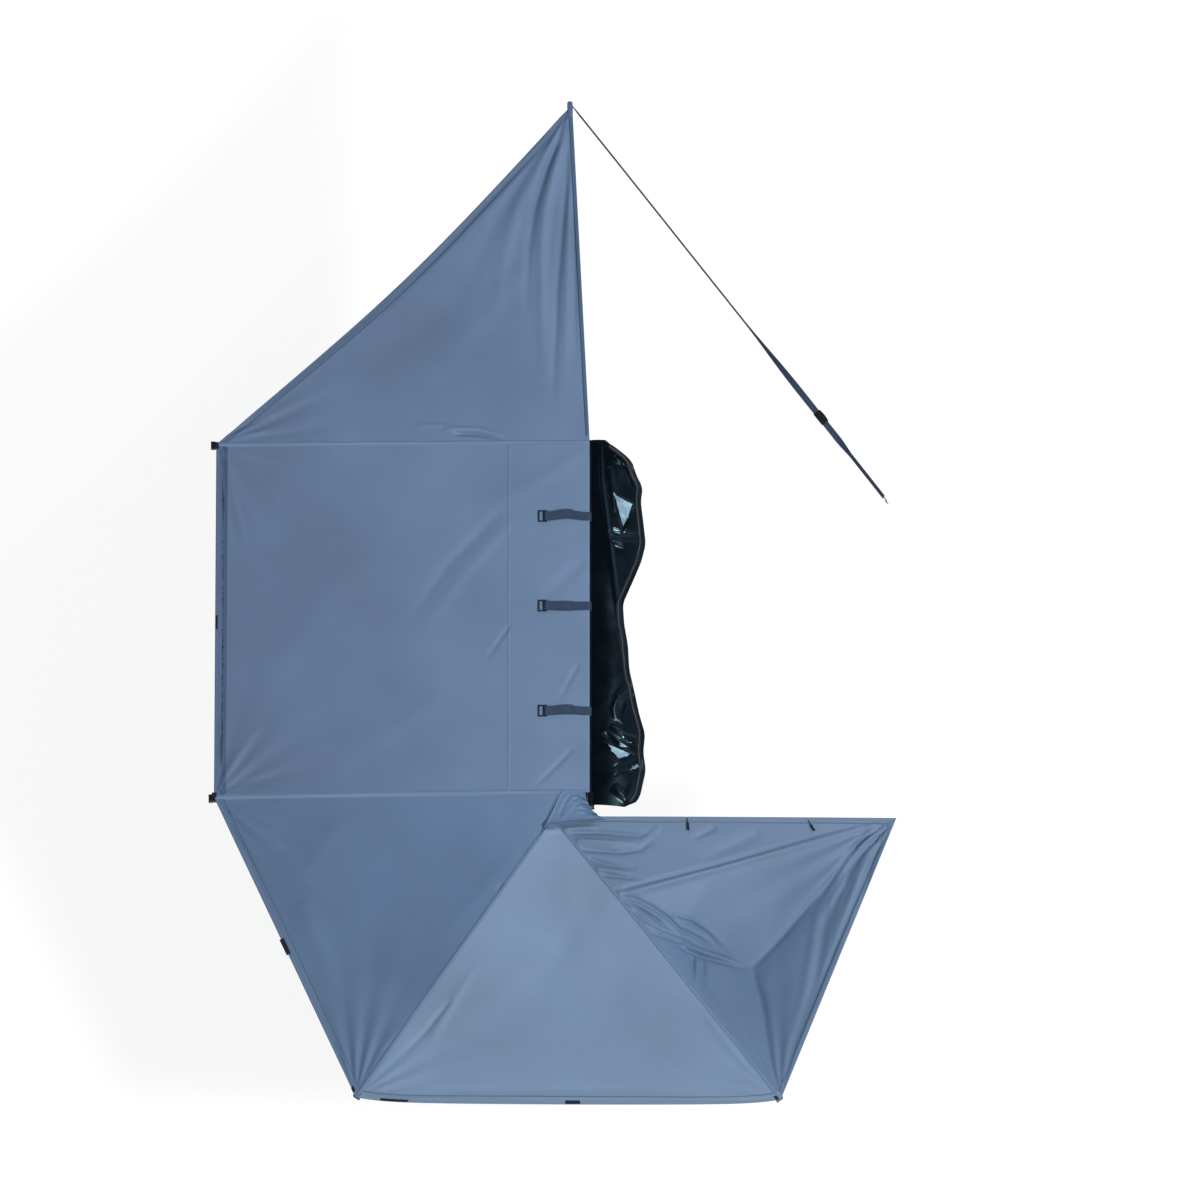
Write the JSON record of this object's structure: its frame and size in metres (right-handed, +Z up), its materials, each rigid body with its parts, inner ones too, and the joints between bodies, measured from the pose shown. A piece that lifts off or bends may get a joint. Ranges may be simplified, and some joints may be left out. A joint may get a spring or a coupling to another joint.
{
  "type": "vehicle side awning",
  "caption": "Side awning for a vehicle's roof rack: canopy panels on folding arms that fan out from a mount rail, with telescopic legs, a tension strap and an opened cover bag.",
  "frame": {"origin": "on the underside of the middle mounting bracket's foot, under the rack bar's middle line", "axes": "+Y along the mount rail towards the vehicle's front, +X inboard over the vehicle, +Z up"},
  "size_m": [3.7093, 5.7283, 0.4432],
  "materials": {
    "black_anodised_aluminium": "satin",
    "anodised_aluminium": "satin",
    "zinc_plated_steel": "satin",
    "black_coated_steel": "textured",
    "black_nylon_moulding": "matte",
    "black_rubber": "matte",
    "slate_blue_ripstop": "matte",
    "pale_slate_ripstop": "matte",
    "black_webbing": "matte",
    "black_pvc": "glossy"
  },
  "bodies": {
    "mount": {"mount_rail": "black_anodised_aluminium", "rail_end_cap_front": "black_nylon_moulding", "rail_end_cap_rear": "black_nylon_moulding", "bracket_front": "black_coated_steel", "bracket_middle": "black_coated_steel", "bracket_rear": "black_coated_steel", "keder_bead": "black_webbing", "front_pivot_bracket": "black_coated_steel", "hub_bracket": "black_coated_steel", "pivot_pin_front": "zinc_plated_steel", "pivot_pin_side": "zinc_plated_steel", "pivot_pin_hub": "zinc_plated_steel", "cover_bag": "black_pvc", "cover_zip": "black_nylon_moulding", "closing_strap_front": "black_webbing", "closing_strap_middle": "black_webbing", "closing_strap_rear": "black_webbing", "closing_buckle_front": "black_nylon_moulding", "closing_buckle_middle": "black_nylon_moulding", "closing_buckle_rear": "black_nylon_moulding", "canopy_side": "slate_blue_ripstop", "canopy_hub_gather": "slate_blue_ripstop"},
    "front_arm": {"front_arm_tube": "anodised_aluminium", "front_arm_knuckle": "anodised_aluminium", "front_arm_tip": "black_nylon_moulding", "tension_strap": "black_webbing", "tension_buckle": "black_nylon_moulding", "tension_hook": "zinc_plated_steel"},
    "arm_1": {"arm_1_channel": "anodised_aluminium", "arm_1_knuckle": "anodised_aluminium", "arm_1_tip": "black_nylon_moulding", "canopy_front": "slate_blue_ripstop"},
    "arm_2": {"arm_2_channel": "anodised_aluminium", "arm_2_knuckle": "anodised_aluminium", "arm_2_tip": "black_nylon_moulding"},
    "arm_3": {"arm_3_channel": "anodised_aluminium", "arm_3_knuckle": "anodised_aluminium", "arm_3_tip": "black_nylon_moulding", "canopy_rear_left": "slate_blue_ripstop"},
    "arm_4": {"arm_4_channel": "anodised_aluminium", "arm_4_knuckle": "anodised_aluminium", "arm_4_tip": "black_nylon_moulding", "canopy_rear": "pale_slate_ripstop", "canopy_tail": "pale_slate_ripstop"},
    "leg_1": {"leg_1_tube": "anodised_aluminium", "leg_1_lock": "black_nylon_moulding"},
    "leg_1_slider": {"leg_1_inner": "anodised_aluminium", "leg_1_foot": "black_rubber"},
    "leg_2": {"leg_2_tube": "anodised_aluminium", "leg_2_lock": "black_nylon_moulding"},
    "leg_2_slider": {"leg_2_inner": "anodised_aluminium", "leg_2_foot": "black_rubber"},
    "leg_3": {"leg_3_tube": "anodised_aluminium", "leg_3_lock": "black_nylon_moulding"},
    "leg_3_slider": {"leg_3_inner": "anodised_aluminium", "leg_3_foot": "black_rubber"},
    "leg_4": {"leg_4_tube": "anodised_aluminium", "leg_4_lock": "black_nylon_moulding"},
    "leg_4_slider": {"leg_4_inner": "anodised_aluminium", "leg_4_foot": "black_rubber"}
  },
  "joints": [
    {"name": "arm_4_fold", "type": "hinge", "parent": "mount", "child": "arm_4", "pos_m": [-0.2443, -1.114, -0.028], "axis": [0, 0, 1], "range_deg": [-217.8, 0], "deforming": ["canopy_front", "canopy_side", "canopy_rear_left", "canopy_rear", "canopy_tail", "canopy_hub_gather", "tension_strap"]},
    {"name": "arm_3_fold", "type": "hinge", "parent": "mount", "child": "arm_3", "pos_m": [-0.2443, -1.114, 0.006], "axis": [0, 0, 1], "range_deg": [-146.2, 0]},
    {"name": "arm_2_fold", "type": "hinge", "parent": "mount", "child": "arm_2", "pos_m": [-0.1623, -0.985, 0.04], "axis": [0, 0, 1], "range_deg": [-90, 0]},
    {"name": "arm_1_fold", "type": "hinge", "parent": "mount", "child": "arm_1", "pos_m": [-0.1073, 1.04, 0.081], "axis": [0, 0, 1], "range_deg": [0, 90]},
    {"name": "front_arm_fold", "type": "hinge", "parent": "mount", "child": "front_arm", "pos_m": [-0.1073, 1.04, 0.105], "axis": [0, 0, 1], "range_deg": [0, 178.7]},
    {"name": "leg_1_swing", "type": "hinge", "parent": "arm_1", "child": "leg_1", "pos_m": [-2.0473, 1.04, 0.075], "axis": [0, 1, 0], "range_deg": [0, 90]},
    {"name": "leg_1_extend", "type": "slide", "parent": "leg_1", "child": "leg_1_slider", "axis": [1, 0, 0], "range_m": [0, 0.54]},
    {"name": "leg_2_swing", "type": "hinge", "parent": "arm_2", "child": "leg_2", "pos_m": [-2.0553, -0.985, 0.034], "axis": [0, 1, 0], "range_deg": [0, 90]},
    {"name": "leg_2_extend", "type": "slide", "parent": "leg_2", "child": "leg_2_slider", "axis": [1, 0, 0], "range_m": [0, 0.54]},
    {"name": "leg_3_swing", "type": "hinge", "parent": "arm_3", "child": "leg_3", "pos_m": [-1.27699, -2.65661, 0], "axis": [-0.831, 0.5563, 0], "range_deg": [0, 90]},
    {"name": "leg_3_extend", "type": "slide", "parent": "leg_3", "child": "leg_3_slider", "axis": [0.5563, 0.831, 0], "range_m": [0, 0.54]},
    {"name": "leg_4_swing", "type": "hinge", "parent": "arm_4", "child": "leg_4", "pos_m": [0.95369, -2.65844, -0.034], "axis": [-0.7902, -0.6129, 0], "range_deg": [0, 90]},
    {"name": "leg_4_extend", "type": "slide", "parent": "leg_4", "child": "leg_4_slider", "axis": [-0.6129, 0.7902, 0], "range_m": [0, 0.54]}
  ],
  "couplings": [
    {"joint": "arm_3_fold", "follows": "arm_4_fold", "ratio": 0.67126},
    {"joint": "arm_2_fold", "follows": "arm_4_fold", "ratio": 0.41322},
    {"joint": "arm_1_fold", "follows": "arm_4_fold", "ratio": -0.41322},
    {"joint": "front_arm_fold", "follows": "arm_4_fold", "ratio": -0.82048}
  ]
}
